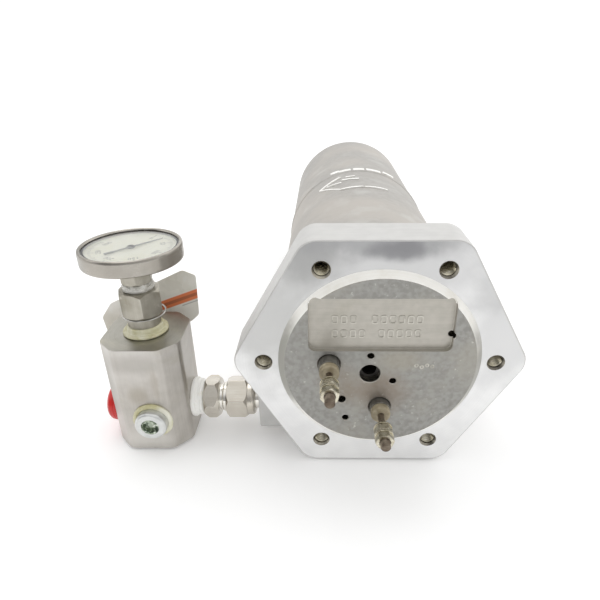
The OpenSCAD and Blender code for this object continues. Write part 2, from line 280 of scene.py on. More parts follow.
def blend_colour(tree, mask, under, over, amount=1.0):
    """Mixes two colours, each a socket or (r, g, b), by a mask times amount."""
    node = tree.nodes.new("ShaderNodeMix")
    node.data_type = "RGBA"
    wire(tree, maths(tree, "MULTIPLY", mask, amount), node.inputs["Factor"])
    for socket, value in ((node.inputs["A"], under), (node.inputs["B"], over)):
        socket = next(s for s in node.inputs if s.name == socket.name and s.type == "RGBA")
        if isinstance(value, tuple):
            socket.default_value = (*value, 1)
        else:
            wire(tree, value, socket)
    return next(s for s in node.outputs if s.type == "RGBA")


def surface(name, base, second, roughness, metallic=0.0, grain=None, brush=None, rings=None,
            blotches=(), patches=(), coat=0.0, spread=0.08, marks=()):
    """A finish. base and second are the tones that the pattern mixes. grain is (scale, height),
    brush is (spread, height) and rings are (centre, across, pitch, height), heights in mm.
    blotches are (scale, low, high, colour, amount), patches (centre, stretch, radius, colour, amount)."""
    material = bpy.data.materials.new(name)
    material.use_nodes = True
    tree = material.node_tree
    shader = tree.nodes["Principled BSDF"]
    shader.inputs["Metallic"].default_value = metallic
    shader.inputs["Coat Weight"].default_value = coat
    patterns = []
    if grain:
        patterns.append((use(tree, GRAIN, Scale=float(grain[0])), grain[1]))
    if brush:
        patterns.append((use(tree, BRUSHING, Spread=brush[0]), brush[1]))
    if rings:
        lathed = use(tree, TURNING, Centre=rings[0], Across=rings[1], Pitch=float(rings[2]))
        patterns.append((lathed, rings[3]))
    tone = patterns[0][0].outputs["Tone"]
    for node, _ in patterns[1:]:
        tone = maths(tree, "MULTIPLY", maths(tree, "ADD", tone, node.outputs["Tone"]), 0.5)
    colour = blend_colour(tree, tone, base, second)
    for scale, low, high, tint, amount in blotches:
        mask = use(tree, BLOTCHES, Scale=float(scale), Low=low, High=high).outputs["Mask"]
        colour = blend_colour(tree, mask, colour, tint, amount)
    for centre, stretch, radius, tint, amount in patches:
        mask = use(tree, PATCH, Centre=centre, Stretch=stretch, Radius=radius).outputs["Mask"]
        colour = blend_colour(tree, mask, colour, tint, amount)
    for mask_maker, tint, amount in marks:
        colour = blend_colour(tree, mask_maker(tree), colour, tint, amount)
    wire(tree, colour, shader.inputs["Base Color"])
    rough = maths(tree, "ADD", maths(tree, "MULTIPLY", tone, spread), roughness - spread / 2)
    wire(tree, rough, shader.inputs["Roughness"])
    height = 0.0
    for node, depth in patterns:
        height = maths(tree, "ADD", maths(tree, "MULTIPLY", node.outputs["Height"], depth * MM), height)
    bump = tree.nodes.new("ShaderNodeBump")
    bump.inputs["Distance"].default_value = 1.0
    bump.inputs["Strength"].default_value = 1.0
    wire(tree, height, bump.inputs["Height"])
    wire(tree, bump.outputs["Normal"], shader.inputs["Normal"])
    return material


def clear_glass(name):
    """Glass with a faint smear."""
    material = bpy.data.materials.new(name)
    material.use_nodes = True
    tree = material.node_tree
    shader = tree.nodes["Principled BSDF"]
    shader.inputs["Transmission Weight"].default_value = 1.0
    shader.inputs["IOR"].default_value = 1.45
    smear = use(tree, BLOTCHES, Scale=55.0, Low=0.45, High=0.75).outputs["Mask"]
    wire(tree, maths(tree, "ADD", maths(tree, "MULTIPLY", smear, 0.06), 0.02), shader.inputs["Roughness"])
    wire(tree, blend_colour(tree, smear, (0.97, 0.98, 0.97), (0.93, 0.94, 0.92)), shader.inputs["Base Color"])
    return material


# ---------------------------------------------------------------- shaping

def aim(bm, axis, place):
    """Turns local +Z to axis, and moves the origin to place."""
    turn = Z.rotation_difference(Vector(axis)).to_matrix().to_4x4()
    bmesh.ops.transform(bm, matrix=Matrix.Translation(Vector(place)) @ turn, verts=bm.verts)


def turned(outline, steps=96):
    """A closed outline of [radius, height] in mm, spun about Z. It may start and end on the axis."""
    bm = bmesh.new()
    verts = [bm.verts.new((r * MM, 0, h * MM)) for r, h in outline]
    edges = [bm.edges.new(pair) for pair in zip(verts, verts[1:])]
    if outline[0][0] > 0 or outline[-1][0] > 0:
        edges.append(bm.edges.new((verts[-1], verts[0])))
    bmesh.ops.spin(bm, geom=verts + edges, cent=(0, 0, 0), axis=Z, angle=TURN, steps=steps, use_merge=True)
    bmesh.ops.remove_doubles(bm, verts=bm.verts, dist=1e-7)
    bmesh.ops.recalc_face_normals(bm, faces=bm.faces)
    return bm


def rounded(outline, radius, steps=3):
    """The same outline with an arc of the radius, in mm, at each corner off the axis."""
    points = []
    count = len(outline)
    for i, (r, h) in enumerate(outline):
        on_axis = r == 0
        before, here, after = (Vector(outline[(i + k) % count]) for k in (-1, 0, 1))
        into, out = (before - here), (after - here)
        if on_axis or into.length < 1e-6 or out.length < 1e-6:
            points.append((r, h))
            continue
        size = min(radius, into.length * 0.45, out.length * 0.45)
        start, end = here + into.normalized() * size, here + out.normalized() * size
        for k in range(steps + 1):
            t = k / steps
            points.append(tuple((1 - t) ** 2 * start + 2 * t * (1 - t) * here + t * t * end))
    return points


def bevel(bm, edges, width, segments, **more):
    """Rounds edges by a width in mm."""
    bmesh.ops.bevel(bm, geom=edges, offset=width * MM, affect="EDGES", segments=segments, profile=0.5,
                    material=-1, **more)


def hexagon(across, height, turn=0.0, corner=0.4):
    """A hexagonal bar on Z from 0 to height, with slightly rounded long edges."""
    bm = bmesh.new()
    bmesh.ops.create_circle(bm, cap_ends=True, radius=across / math.sqrt(3) * MM, segments=6)
    top = bmesh.ops.extrude_face_region(bm, geom=bm.faces[:])["geom"]
    bmesh.ops.translate(bm, vec=Z * height * MM, verts=[v for v in top if isinstance(v, bmesh.types.BMVert)])
    upright = [e for e in bm.edges if abs(e.verts[0].co.z - e.verts[1].co.z) > 1e-6]
    bevel(bm, upright, corner, 2)
    bmesh.ops.rotate(bm, verts=bm.verts, cent=(0, 0, 0), matrix=Matrix.Rotation(turn, 3, "Z"))
    bmesh.ops.recalc_face_normals(bm, faces=bm.faces)
    return bm


def temporary(bm):
    """An object to hang a modifier on. The bmesh is used up."""
    mesh = bpy.data.meshes.new("tool")
    bm.to_mesh(mesh)
    bm.free()
    obj = bpy.data.objects.new("tool", mesh)
    scene.collection.objects.link(obj)
    return obj


def combine(first, second, operation):
    """Boolean of two bmeshes, as a new one. Both are used up."""
    base, tool = temporary(first), temporary(second)
    step = base.modifiers.new("combine", "BOOLEAN")
    step.operation = operation
    step.solver = "EXACT"
    step.object = tool
    result = bmesh.new()
    result.from_mesh(final_mesh(base))
    for obj in (base, tool):
        bpy.data.objects.remove(obj)
    bmesh.ops.remove_doubles(result, verts=result.verts, dist=1e-7)
    return result


def final_mesh(obj):
    """The object's mesh with its modifiers applied."""
    view = bpy.context.evaluated_depsgraph_get()
    view.update()
    return bpy.data.meshes.new_from_object(obj.evaluated_get(view))


def nut(across, height, hole=0.0, turn=0.0, chamfer=0.12):
    """A hexagonal nut on Z from 0, with both faces chamfered to a circle."""
    corner = across / math.sqrt(3)
    cut = corner * chamfer
    barrel = turned([
        (0, 0), (across / 2 - 0.1, 0), (corner + 0.3, cut * 1.6), (corner + 0.3, height - cut * 1.6),
        (across / 2 - 0.1, height), (0, height)], 72)
    bm = combine(hexagon(across, height, turn), barrel, "INTERSECT")
    if hole:
        bore = turned([
            (0, -1), (hole * 1.12, -1), (hole * 1.12, 0), (hole, hole * 0.16), (hole, height - hole * 0.16),
            (hole * 1.12, height), (hole * 1.12, height + 1), (0, height + 1)], 48)
        bm = combine(bm, bore, "DIFFERENCE")
    return bm


def thread(root, crest, pitch, turns, start=0.0, steps=28):
    """A V-shaped ridge wound right-handed about Z, from the root's radius to the crest's."""
    bm = bmesh.new()
    corners = [(root, -0.45 * pitch), (crest, -0.06 * pitch), (crest, 0.06 * pitch), (root, 0.45 * pitch)]
    first = bm.faces.new([bm.verts.new((r * MM, 0, (start + h) * MM)) for r, h in corners])
    bmesh.ops.spin(bm, geom=[first], cent=(0, 0, 0), axis=Z, angle=TURN * turns,
                   steps=int(steps * turns), dvec=Z * pitch / steps * MM)
    bmesh.ops.recalc_face_normals(bm, faces=bm.faces)
    return bm


def join(*parts):
    """Several bmeshes as one. All but the result are used up."""
    whole = bmesh.new()
    for bm in parts:
        mesh = bpy.data.meshes.new("part")
        bm.to_mesh(mesh)
        bm.free()
        whole.from_mesh(mesh)
        bpy.data.meshes.remove(mesh)
    return whole


def solids(node):
    """The lowest and highest corners of each separate solid in a CAD node, from left to right."""
    bm = bmesh.new()
    bm.from_mesh(NODES[node].data)
    bmesh.ops.remove_doubles(bm, verts=bm.verts, dist=1e-7)
    left, found = set(bm.verts), []
    while left:
        queue, island = [left.pop()], []
        while queue:
            vert = queue.pop()
            island.append(vert.co.copy())
            for edge in vert.link_edges:
                other = edge.other_vert(vert)
                if other in left:
                    left.remove(other)
                    queue.append(other)
        low = Vector([min(c[i] for c in island) for i in range(3)])
        high = Vector([max(c[i] for c in island) for i in range(3)])
        found.append((low, high))
    bm.free()
    return sorted(found, key=lambda b: (round(b[0].x, 5), round(b[0].y, 5)))


def middle(box):
    return (box[0] + box[1]) / 2


def piece(name, bm, materials, body, replaces=(), smooth=38, even=True):
    """Makes a finished object of a bmesh, riding on a CAD body."""
    mesh = bpy.data.meshes.new(name)
    bm.to_mesh(mesh)
    bm.free()
    for material in materials if isinstance(materials, (list, tuple)) else [materials]:
        mesh.materials.append(material)
    mesh.polygons.foreach_set("use_smooth", [True] * len(mesh.polygons))
    mesh.set_sharp_from_angle(angle=math.radians(smooth))
    obj = bpy.data.objects.new(name, mesh)
    scene.collection.objects.link(obj)
    if even:
        step = obj.modifiers.new("even_normals", "WEIGHTED_NORMAL")
        step.keep_sharp = True
    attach(obj, body)
    if replaces:
        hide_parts(*([replaces] if isinstance(replaces, str) else replaces))
    return obj


def dress(node, material):
    """Gives a CAD node that stays its finish."""
    data = NODES[node].data
    data.materials.clear()
    data.materials.append(material)


# ---------------------------------------------------------------- where things are, from the frame

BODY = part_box("heater_body")
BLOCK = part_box("manifold_block")
GAUGE = middle(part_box("gauge_case"))
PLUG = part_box("port_plug")
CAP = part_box("port_cap")
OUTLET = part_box("outlet_tube")
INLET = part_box("inlet_tube")
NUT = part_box("union_nut")
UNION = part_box("union_body")
WELL = MOUNTS["sensor_well"]["pos_m"]
BOLTS = MOUNTS["cover_bolts"]["dims"]
BODY_R = 63.5 * MM
DISC_H = 3.8 * MM
FLANGE_T = 29 * MM
BOLT_PLACES = [Matrix.Rotation(-i * TURN / BOLTS["count"], 3, "Y") @ (X * BOLTS["pcd_mm"] / 2 * MM)
               for i in range(BOLTS["count"])]
SMALL_HOLES = (                     # x, z and radius in mm
    (-5.5, 6.8, 2.0), (8.1, -10.6, 2.0), (-19.2, -38.1, 2.0), (39.6, 20.3, 2.0), (-21.9, -24.1, 2.6))
LEGS = [middle(box) for box in solids("terminal_studs")]
HANG = Vector(next(j["pos_m"] for j in frame["joints"] if j["name"] == "tag_swing"))
BOSS_FACE = 75.5 * MM               # each port boss ends this far from the axis
ADAPTER_HEX, ADAPTER_TOP = 16.4, 33  # heights in mm of the hexagon on the thermometer's adapter
STEM_HEX = 37.6                     # height in mm of the foot of the stem's hexagon
PASTE_FOOT = 32.8                   # height in mm where the stem's sealant starts
UNION_HEX = -113.4                  # x in mm where the hexagon of the union's body starts


# ---------------------------------------------------------------- the finishes of this heater

cast_alloy = surface(
    "cast_alloy", (0.385, 0.37, 0.345), (0.45, 0.435, 0.415), 0.62,
    metallic=0.45, grain=(1100, 0.05), spread=0.12,
    blotches=((14, 0.42, 0.7, (0.54, 0.50, 0.45), 0.5), (45, 0.5, 0.75, (0.60, 0.60, 0.57), 0.4),
              (260, 0.62, 0.75, (0.40, 0.38, 0.34), 0.2)))
rim_alloy = surface(
    "rim_alloy", (0.54, 0.535, 0.52), (0.61, 0.605, 0.59), 0.5, metallic=0.5, grain=(700, 0.03),
    brush=((90, 2600, 90), 0.012), blotches=((22, 0.45, 0.72, (0.62, 0.61, 0.58), 0.35),))
# the patches are painted shade that darkens the upper half of the polished flange face, most at the top
face_alloy = surface(
    "face_alloy", (0.76, 0.76, 0.76), (0.85, 0.85, 0.845), 0.36, metallic=0.9, grain=(420, 0.004),
    rings=((0, 0, 0), (1, 0, 1), 1800, 0.005), blotches=((22, 0.40, 0.70, (0.93, 0.93, 0.92), 0.45),
                                                        (75, 0.55, 0.85, (0.66, 0.655, 0.64), 0.25)),
    patches=(((-0.01, 0, 0.062), (0.36, 1, 0.9), 0.040, (0.56, 0.56, 0.56), 0.8),
             ((-0.062, 0, 0.03), (1, 1, 0.6), 0.034, (0.50, 0.50, 0.49), 0.8),
             ((-0.04, 0, 0.067), (0.8, 1, 1.1), 0.022, (0.34, 0.34, 0.335), 0.8),
             ((0.07, 0, 0.02), (1, 1, 0.6), 0.032, (0.60, 0.60, 0.60), 0.7),
             ((-0.004, 0, 0.0745), (0.26, 1, 1.3), 0.015, (0.33, 0.33, 0.335), 0.75),
             ((0.008, 0, 0.070), (0.55, 1, 1.5), 0.012, (0.20, 0.20, 0.21), 0.7),
             ((0.062, 0, 0.044), (1, 1, 1), 0.014, (0.50, 0.50, 0.50), 0.5)))
# the near-white base is a painted highlight along the chamfer ring, and the two patches are painted shade on its
# left and right sides
chamfer_painted_highlight = surface(
    "chamfer_painted_highlight", (0.95, 0.93, 0.87), (0.99, 0.98, 0.94), 0.42, metallic=0.1,
    rings=((0, 0, 0), (1, 0, 1), 2600, 0.005), blotches=((60, 0.5, 0.75, (0.72, 0.68, 0.58), 0.5),),
    patches=(((-0.057, 0, 0), (1, 1, 0.5), 0.020, (0.27, 0.265, 0.23), 0.85),
             ((0.058, 0, -0.005), (1, 1, 0.5), 0.022, (0.30, 0.29, 0.26), 0.8)))
STAIN = (0.25, 0.19, 0.13)
disc_alloy = surface(
    "disc_alloy", (0.285, 0.28, 0.26), (0.385, 0.38, 0.36), 0.5,
    metallic=0.75, grain=(1500, 0.035), spread=0.14,
    blotches=((30, 0.45, 0.72, (0.42, 0.40, 0.35), 0.5), (170, 0.6, 0.72, (0.20, 0.18, 0.15), 0.2),
              (420, 0.66, 0.74, (0.8, 0.79, 0.75), 0.4)),
    patches=(((0.0, -DISC_H, -0.018), (1, 1, 1.2), 0.022, (0.30, 0.23, 0.17), 0.5),
             ((-0.024, -DISC_H, -0.012), (1, 1, 0.8), 0.014, STAIN, 0.35),
             ((0.012, -DISC_H, 0.004), (0.8, 1, 1.5), 0.015, (0.42, 0.38, 0.30), 0.4)))
pocket_alloy = surface(
    "pocket_alloy", (0.44, 0.42, 0.375), (0.54, 0.515, 0.465), 0.46, metallic=0.75, grain=(900, 0.02),
    brush=((70, 70, 2400), 0.014), blotches=((40, 0.5, 0.72, (0.42, 0.40, 0.32), 0.4),))
worn_pocket = surface(
    "worn_pocket", (0.52, 0.50, 0.45), (0.68, 0.66, 0.60), 0.38, metallic=0.8, grain=(900, 0.01),
    blotches=((200, 0.45, 0.62, (0.30, 0.285, 0.245), 0.7),))
# a dark base colour that paints the shade deep inside the bores and holes of the casting
bore_painted_shade = surface(
    "bore_painted_shade", (0.20, 0.185, 0.15), (0.46, 0.43, 0.36), 0.3, metallic=0.95, grain=(600, 0.01),
    blotches=((160, 0.45, 0.65, (0.10, 0.09, 0.08), 0.8),))
worn_alloy = surface(
    "worn_alloy", (0.84, 0.83, 0.79), (0.95, 0.94, 0.91), 0.35, metallic=0.7, grain=(1300, 0.01),
    blotches=((90, 0.5, 0.7, (0.66, 0.64, 0.59), 0.6),))

drawn_steel = surface(
    "drawn_steel", (0.55, 0.54, 0.51), (0.68, 0.67, 0.64), 0.28, metallic=0.95, grain=(500, 0.004),
    brush=((60, 2200, 2200), 0.006), blotches=((40, 0.5, 0.75, (0.46, 0.43, 0.38), 0.4),))
union_steel = surface(
    "union_steel", (0.58, 0.54, 0.47), (0.68, 0.645, 0.58), 0.24, metallic=0.95, grain=(420, 0.003),
    brush=((50, 1600, 1600), 0.0012), blotches=((55, 0.48, 0.72, (0.40, 0.35, 0.27), 0.4),))
bright_steel = surface(
    "bright_steel", (0.74, 0.71, 0.65), (0.86, 0.84, 0.79), 0.12, metallic=1.0, grain=(300, 0.002),
    rings=(tuple(middle(NUT)), (0, 1, 1), 1500, 0.0015), blotches=((80, 0.5, 0.75, (0.60, 0.55, 0.46), 0.4),))
# the first patch is a painted highlight low on the front face, the second is painted shade high on the front face
# under the gauge, and the third is painted shade on the left face
block_steel = surface(
    "block_steel", (0.43, 0.405, 0.37), (0.54, 0.515, 0.475), 0.36, metallic=0.9, grain=(600, 0.006),
    brush=((2400, 2400, 46), 0.008),
    blotches=((16, 0.42, 0.68, (0.66, 0.64, 0.61), 0.5), (70, 0.55, 0.75, (0.42, 0.39, 0.33), 0.4)),
    patches=(
        ((middle(BLOCK).x, BLOCK[0].y, BLOCK[0].z + 0.009), (0.6, 1, 1.4), 0.014, (0.70, 0.68, 0.64), 0.6),
        ((middle(BLOCK).x, BLOCK[0].y, BLOCK[1].z - 0.010), (0.5, 1, 1.6), 0.014, (0.33, 0.31, 0.28), 0.45),
        ((BLOCK[0].x, middle(BLOCK).y - 0.01, -0.03), (1, 1, 0.4), 0.016, (0.30, 0.285, 0.25), 0.6),
        ((PLUG[0].x + 0.004, BLOCK[0].y, -0.031), (1, 1, 0.9), 0.008, (0.32, 0.28, 0.22), 0.45),
        ((BLOCK[1].x - 0.016, BLOCK[0].y, -0.022), (2.6, 1, 0.5), 0.008, (0.34, 0.29, 0.23), 0.3)))
block_top_steel = surface(
    "block_top_steel", (0.34, 0.33, 0.285), (0.44, 0.425, 0.385), 0.36, metallic=0.9, grain=(600, 0.006),
    rings=((GAUGE.x, GAUGE.y, 0), (1, 1, 0), 1500, 0.01),
    blotches=((35, 0.45, 0.7, (0.60, 0.56, 0.44), 0.45),))
# the patch is painted shade on the front left of the adapter's hexagon
fitting_steel = surface(
    "fitting_steel", (0.35, 0.33, 0.275), (0.49, 0.465, 0.41), 0.34, metallic=0.9, grain=(700, 0.006),
    brush=((2000, 2000, 80), 0.008),
    blotches=((60, 0.45, 0.68, (0.24, 0.22, 0.17), 0.5), (200, 0.6, 0.72, (0.66, 0.64, 0.58), 0.5)),
    patches=(((GAUGE.x - 0.012, GAUGE.y - 0.007, 0.027), (1, 1, 0.7), 0.009, (0.13, 0.12, 0.09), 0.7),))
gauge_steel = surface(
    "gauge_steel", (0.38, 0.355, 0.315), (0.50, 0.475, 0.43), 0.3, metallic=0.95, grain=(500, 0.003),
    brush=((150, 150, 4200), 0.006), blotches=((30, 0.45, 0.72, (0.44, 0.40, 0.36), 0.4),))
# the patch is painted shade on the front-left side of the bezel
bezel_steel = surface(
    "bezel_steel", (0.32, 0.30, 0.265), (0.43, 0.405, 0.365), 0.25, metallic=0.95, grain=(500, 0.003),
    rings=((GAUGE.x, GAUGE.y, 0), (1, 1, 0), 2500, 0.005),
    blotches=((45, 0.5, 0.72, (0.40, 0.37, 0.33), 0.4),),
    patches=(((GAUGE.x - 0.029, GAUGE.y - 0.012, GAUGE.z), (1, 1, 1), 0.020, (0.15, 0.145, 0.12), 0.65),))
zinc_plate = surface(
    "zinc_plate", (0.62, 0.63, 0.615), (0.74, 0.75, 0.735), 0.32, metallic=0.75, grain=(800, 0.01),
    blotches=((90, 0.5, 0.72, (0.70, 0.72, 0.70), 0.5),))
socket_metal = surface(
    "socket_metal", (0.23, 0.28, 0.19), (0.46, 0.51, 0.42), 0.25, metallic=0.8, grain=(900, 0.03), spread=0.2,
    blotches=((330, 0.50, 0.58, (0.05, 0.085, 0.055), 0.7), (420, 0.54, 0.62, (0.80, 0.84, 0.76), 0.8)))
old_nickel = surface(
    "old_nickel", (0.46, 0.42, 0.31), (0.70, 0.66, 0.54), 0.27, metallic=0.95, grain=(900, 0.01),
    blotches=((240, 0.52, 0.7, (0.30, 0.26, 0.17), 0.4), (500, 0.6, 0.68, (0.88, 0.86, 0.78), 0.5)))
stud_steel = surface(
    "stud_steel", (0.13, 0.10, 0.075), (0.26, 0.22, 0.17), 0.4, metallic=0.85, grain=(1200, 0.01),
    blotches=((300, 0.5, 0.68, (0.12, 0.09, 0.065), 0.6),))
sheath_steel = surface(
    "sheath_steel", (0.15, 0.145, 0.13), (0.27, 0.26, 0.235), 0.42, metallic=0.8, grain=(1100, 0.012),
    brush=((500, 60, 500), 0.01), blotches=((150, 0.5, 0.7, (0.40, 0.38, 0.33), 0.5),
                                            (90, 0.55, 0.72, (0.08, 0.07, 0.06), 0.6)))
ceramic = surface(
    "ceramic", (0.25, 0.21, 0.135), (0.40, 0.345, 0.235), 0.55, grain=(900, 0.03),
    blotches=((260, 0.5, 0.68, (0.26, 0.20, 0.12), 0.6), (120, 0.55, 0.7, (0.66, 0.60, 0.46), 0.5)))
well_steel = surface(
    "well_steel", (0.05, 0.05, 0.048), (0.13, 0.125, 0.12), 0.4, metallic=0.8, grain=(700, 0.01),
    rings=(tuple(WELL), (1, 0, 1), 1500, 0.01))
white_tape = surface(
    "white_tape", (0.95, 0.945, 0.90), (0.98, 0.975, 0.95), 0.45, grain=(600, 0.03), spread=0.2,
    rings=((UNION[0].x, UNION[0].y, UNION[0].z), (1, 0, 0), 1100, 0.05),
    blotches=((110, 0.5, 0.7, (0.74, 0.70, 0.55), 0.6),))
aged_tape = surface(
    "aged_tape", (0.62, 0.59, 0.37), (0.78, 0.76, 0.60), 0.42, grain=(600, 0.03), spread=0.2,
    blotches=((120, 0.48, 0.68, (0.50, 0.46, 0.20), 0.6), (70, 0.5, 0.7, (0.90, 0.89, 0.80), 0.7)))
paste = surface(
    "paste", (0.66, 0.65, 0.60), (0.84, 0.83, 0.79), 0.5, grain=(500, 0.06),
    blotches=((200, 0.5, 0.66, (0.40, 0.38, 0.32), 0.6),))
red_plastic = surface(
    "red_plastic", (0.55, 0.006, 0.004), (0.63, 0.010, 0.007), 0.34, grain=(380, 0.002), coat=0.15,
    blotches=((40, 0.45, 0.7, (0.68, 0.03, 0.02), 0.4),))
dial_paint = surface(
    "dial_paint", (0.84, 0.81, 0.64), (0.88, 0.86, 0.72), 0.4, grain=(500, 0.004),
    blotches=((60, 0.4, 0.7, (0.89, 0.88, 0.78), 0.6),))
ink = surface("ink", (0.12, 0.11, 0.10), (0.20, 0.19, 0.17), 0.5, grain=(900, 0.002))
pointer_paint = surface("pointer_paint", (0.16, 0.155, 0.14), (0.24, 0.235, 0.22), 0.4, grain=(900, 0.003))
gasket_rubber = surface("gasket_rubber", (0.03, 0.03, 0.03), (0.06, 0.06, 0.06), 0.7, grain=(700, 0.02))
copper_strip = surface("copper_strip", (0.55, 0.33, 0.20), (0.68, 0.45, 0.30), 0.3, metallic=0.95,
                       grain=(700, 0.004), blotches=((300, 0.5, 0.7, (0.3, 0.2, 0.14), 0.5),))
tie_wire = surface("tie_wire", (0.42, 0.41, 0.39), (0.62, 0.61, 0.58), 0.32, metallic=0.95,
                   grain=(1200, 0.004))
glass = clear_glass("gauge_glass")


# ---------------------------------------------------------------- the casting

def prism(outline, depth, corner=0.0, edge=0.0, steps=6):
    """An outline of [x, z] in mm, drawn at y = 0 and extruded to y = depth. Its long edges get
    the corner radius, and both end outlines the edge radius."""
    bm = bmesh.new()
    bm.faces.new([bm.verts.new((x * MM, 0, z * MM)) for x, z in outline])
    moved = bmesh.ops.extrude_face_region(bm, geom=bm.faces[:])["geom"]
    bmesh.ops.translate(bm, vec=Y * depth * MM, verts=[v for v in moved if isinstance(v, bmesh.types.BMVert)])
    if corner:
        long_edges = [e for e in bm.edges if abs(e.verts[0].co.y - e.verts[1].co.y) > 1e-6]
        bevel(bm, long_edges, corner, steps, offset_type="OFFSET")
    bmesh.ops.recalc_face_normals(bm, faces=bm.faces)
    if edge:
        rims = [e for e in bm.edges if e.calc_face_angle(0) > 1.2]
        bevel(bm, rims, edge, 2)
    return bm


def along_y(bm, x, y, z):
    """Turns a shape made about +Z so that its +Z runs along +Y, from the point in metres."""
    aim(bm, Y, (x, y, z))
    return bm


def rectangle(low, high):
    return [(low[0], low[1]), (high[0], low[1]), (high[0], high[1]), (low[0], high[1])]


def port_boss(outward, x_end, y, z, width=31.0, corner=4.0):
    """A square boss, from inside the body out to its machined face."""
    half = width / 2
    bm = prism(rectangle((-half, -half), (half, half)), (abs(x_end) / MM - 30), corner, 0.9, 4)
    aim(bm, Z, (0, 0, 0))
    turn = Matrix.Rotation(-math.pi / 2 * outward, 4, "Z")
    bmesh.ops.transform(bm, matrix=Matrix.Translation((outward * 0.03, y, z)) @ turn, verts=bm.verts)
    return bm


def casting_shape():
    """Flange, barrel, disc and bosses, with the pocket and every hole cut."""
    across = (BODY[1].z - BODY[0].z) / MM / math.sqrt(3)
    hexagon_outline = [(across * math.cos(i * TURN / 6), across * math.sin(i * TURN / 6)) for i in range(6)]
    shape = prism(hexagon_outline, FLANGE_T / MM, 12 * math.tan(TURN / 12), 0.8)
    end, radius = BODY[1].y / MM, BODY_R / MM
    flare = [(radius + 5 * (1 - math.sin(k * TURN / 24)), 27.5 + 6.5 * (1 - math.cos(k * TURN / 24)))
             for k in range(1, 7)]
    barrel = [(0, 10), (radius + 5, 10)] + flare
    barrel += [(radius, 217.8), (radius + 0.5, 218.6), (radius + 0.8, 219.2), (radius + 0.8, 221.8),
               (radius + 0.5, 222.4), (radius, 223.2), (radius, end - 4), (radius - 0.7, end - 1.9),
               (radius - 2.2, end - 0.5), (radius - 4, end), (0, end)]
    shape = combine(shape, along_y(turned(barrel, 168), 0, 0, 0), "UNION")
    disc = along_y(turned([
        (0, -3.8), (55.5, -3.8), (55.9, -3.7), (59.3, -0.1), (59.5, 0.3), (59.5, 6), (0, 6)], 144), 0, 0, 0)
    shape = combine(shape, disc, "UNION")
    shape = combine(shape, port_boss(-1, BOSS_FACE, middle(OUTLET).y, middle(OUTLET).z), "UNION")
    shape = combine(shape, port_boss(1, BOSS_FACE, middle(INLET).y, middle(INLET).z), "UNION")
    pocket = prism(rectangle((-41.4, 10.1), (40.4, 43.6)), 5, 4, 0.7, 5)
    bmesh.ops.translate(pocket, vec=(0, -0.0058, 0), verts=pocket.verts)
    shape = combine(shape, pocket, "DIFFERENCE")
    tools = []
    for place in BOLT_PLACES:
        drill = turned([(0, -1), (5.7, -1), (5.3, 0), (5.0, 0.25), (4.2, 1.2), (4.2, 22), (0, 24)], 40)
        tools.append(along_y(drill, place.x, 0, place.z))
    for x, z, r in SMALL_HOLES:
        drill = turned([(0, -5), (r + 0.7, -5), (r + 0.35, -3.8), (r, -3.3), (r, 8), (0, 9)], 28)
        tools.append(along_y(drill, x * MM, 0, z * MM))
    tools.append(along_y(turned([(0, -5), (6.9, -5), (6.5, -3.8), (6.1, -3.3), (6.1, 70), (0, 70)], 48),
                         WELL[0], 0, WELL[2]))
    for leg in LEGS:
        tools.append(along_y(turned([(0, -5), (7.6, -5), (7.1, -3.8), (6.45, -3.2), (6.45, 60), (0, 60)], 48),
                             leg.x, 0, leg.z))
    for box, sign in ((OUTLET, -1), (INLET, 1)):
        bore = turned([(0, 0), (8.24, 0), (8.24, 44.6), (8.9, 45.5), (9.1, 47), (0, 47)], 48)
        aim(bore, X * sign, (sign * 0.03, middle(box).y, middle(box).z))
        tools.append(bore)
    for tool in tools:
        shape = combine(shape, tool, "DIFFERENCE")
    return shape


def region(face):
    """Which finish a face of the casting has: the index in the list that casting() gives."""
    centre, normal = face.calc_center_median(), face.normal
    radius = math.hypot(centre.x, centre.z)
    deep = centre.y
    if abs(deep) < 0.03 * MM and normal.y < -0.99:
        return 1
    if abs(deep - FLANGE_T) < 0.1 * MM and normal.y > 0.99:
        return 6
    if any(math.hypot(centre.x - p.x, centre.z - p.z) < 5.9 * MM and deep > 0.05 * MM and deep < 24 * MM
           for p in BOLT_PLACES):
        return 5
    if radius < 54 * MM and deep > -0.7 * MM and deep < 75 * MM:
        return 5
    if deep < -DISC_H + 0.03 * MM:
        return 2
    if 54.5 * MM < radius < 60 * MM and deep < 0.25 * MM:
        return 3
    if deep < -0.05 * MM:
        return 4
    if deep < 0.05 * MM:
        return 1
    if deep < FLANGE_T + 0.1 * MM and radius > 66 * MM:
        return 6
    if abs(centre.x) > 75.3 * MM and abs(normal.x) > 0.9:
        return 1
    return 0


def casting():
    bm = casting_shape()
    bmesh.ops.dissolve_limit(bm, angle_limit=math.radians(0.3), verts=bm.verts, edges=bm.edges)
    bm.normal_update()
    for face in bm.faces:
        face.material_index = region(face)
    finishes = [cast_alloy, face_alloy, disc_alloy, chamfer_painted_highlight, pocket_alloy, bore_painted_shade, rim_alloy]
    piece("casting", bm, finishes, "heater", "heater_body", smooth=32)


def hole_threads():
    """The cut threads inside the flange's six holes."""
    ridges = []
    for place in BOLT_PLACES:
        ridges.append(along_y(thread(4.28, 3.6, 1.5, 11, 2.8), place.x, 0, place.z))
    piece("hole_threads", join(*ridges), old_nickel, "heater", even=False)


